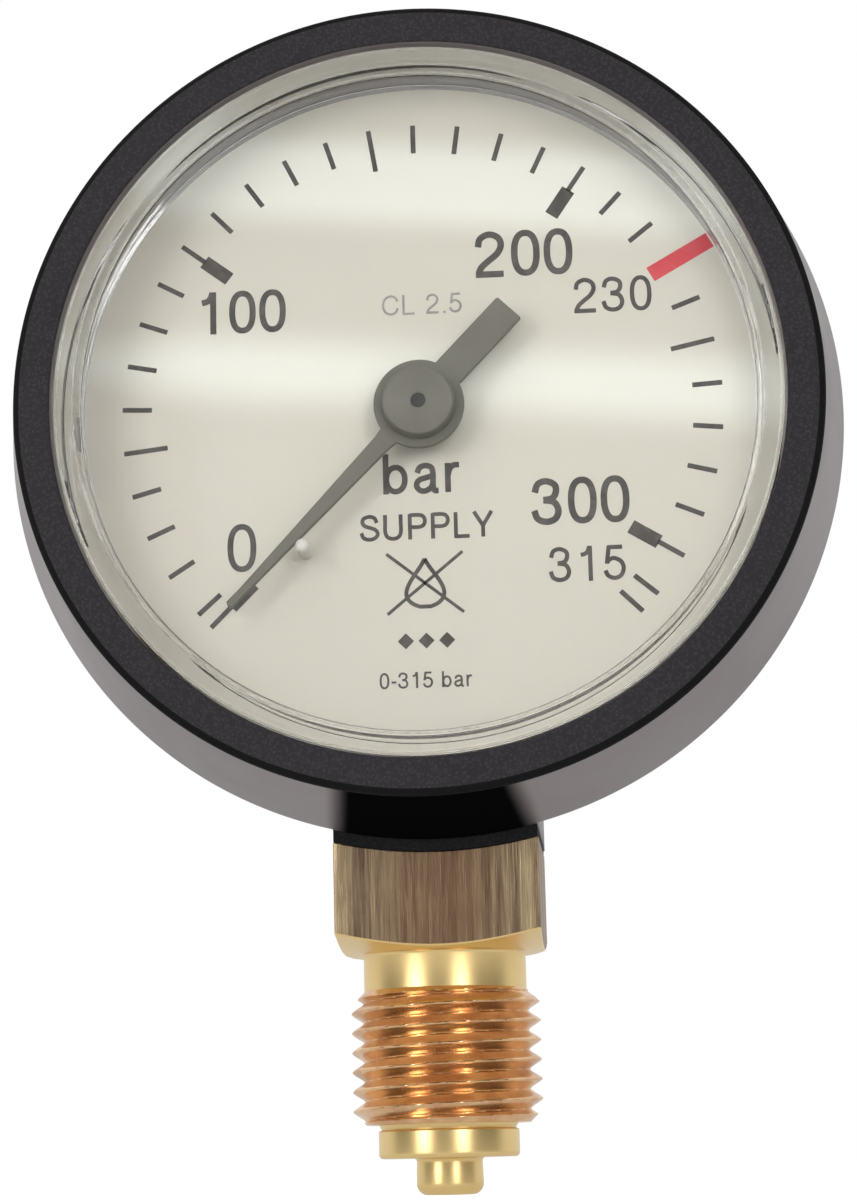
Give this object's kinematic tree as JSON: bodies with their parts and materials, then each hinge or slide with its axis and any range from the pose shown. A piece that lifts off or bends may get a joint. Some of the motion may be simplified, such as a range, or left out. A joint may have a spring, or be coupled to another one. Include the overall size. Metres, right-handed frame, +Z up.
{
  "type": "pressure gauge",
  "caption": "Round bottom-entry Bourdon tube pressure gauge with a black case, white dial, black pointer and brass stem with wrench flats and a parallel thread.",
  "frame": {"origin": "on the stem axis at the shoulder under the wrench block", "axes": "+Z up the stem towards the case, -Y out of the dial, +X to the right seen from the front"},
  "size_m": [0.0582, 0.0268, 0.0819],
  "materials": {
    "black_plastic": "fine grained moulded black plastic",
    "clear_plastic": "clear polished plastic",
    "dial_white": "satin warm white paint with printed marks",
    "pointer_black": "matt black paint",
    "pin_white": "white plastic",
    "brass_turned": "bright turned brass",
    "brass_movement": "brushed brass sheet",
    "tube_bronze": "drawn bronze tube",
    "steel_bright": "bright steel",
    "black_rubber": "matt black rubber"
  },
  "bodies": {
    "housing": {"case_shell": "black_plastic", "back_cover": "black_plastic", "blowout_plug": "black_rubber", "cover_screws": "steel_bright", "window": "clear_plastic", "dial": "dial_white", "stop_pin": "pin_white", "stem_gasket": "black_rubber", "socket": "brass_turned", "restrictor_screw": "brass_turned", "bourdon_tube": "tube_bronze", "back_plate": "brass_movement", "front_plate": "brass_movement", "plate_pillars": "brass_movement", "plate_screws": "steel_bright", "movement_screws": "steel_bright", "hairspring": "tube_bronze", "hairspring_stud": "brass_movement"},
    "tube_tip": {"tube_end_piece": "brass_movement", "tip_pin": "steel_bright"},
    "sector": {"sector_gear": "brass_movement", "sector_arbor": "steel_bright", "tail_pin": "steel_bright"},
    "link": {"drive_link": "brass_movement"},
    "pointer": {"pinion_arbor": "steel_bright", "pointer_blade": "pointer_black", "pointer_hub": "pointer_black", "hairspring_collet": "brass_movement"}
  },
  "joints": [
    {"name": "sector_swing", "type": "hinge", "parent": "housing", "child": "sector", "pos_m": [0, 0, 0.0254], "axis": [0, -1, 0], "range_deg": [0, 27]},
    {"name": "pointer_turn", "type": "hinge", "parent": "housing", "child": "pointer", "pos_m": [0, 0, 0.0364], "axis": [0, -1, 0], "range_deg": [-270, 0], "deforming": ["hairspring"]},
    {"name": "tube_tip_swing", "type": "hinge", "parent": "housing", "child": "tube_tip", "pos_m": [0, 0, 0.0364], "axis": [0, -1, 0], "range_deg": [0, 10.3], "deforming": ["bourdon_tube"]},
    {"name": "link_pivot", "type": "hinge", "parent": "sector", "child": "link", "pos_m": [-0.00419, 0, 0.02267], "axis": [0, -1, 0], "range_deg": [-27, 0]}
  ],
  "couplings": [
    {"joint": "pointer_turn", "follows": "sector_swing", "ratio": -10},
    {"joint": "tube_tip_swing", "follows": "sector_swing", "ratio": 0.38158},
    {"joint": "link_pivot", "follows": "sector_swing", "ratio": -1}
  ]
}
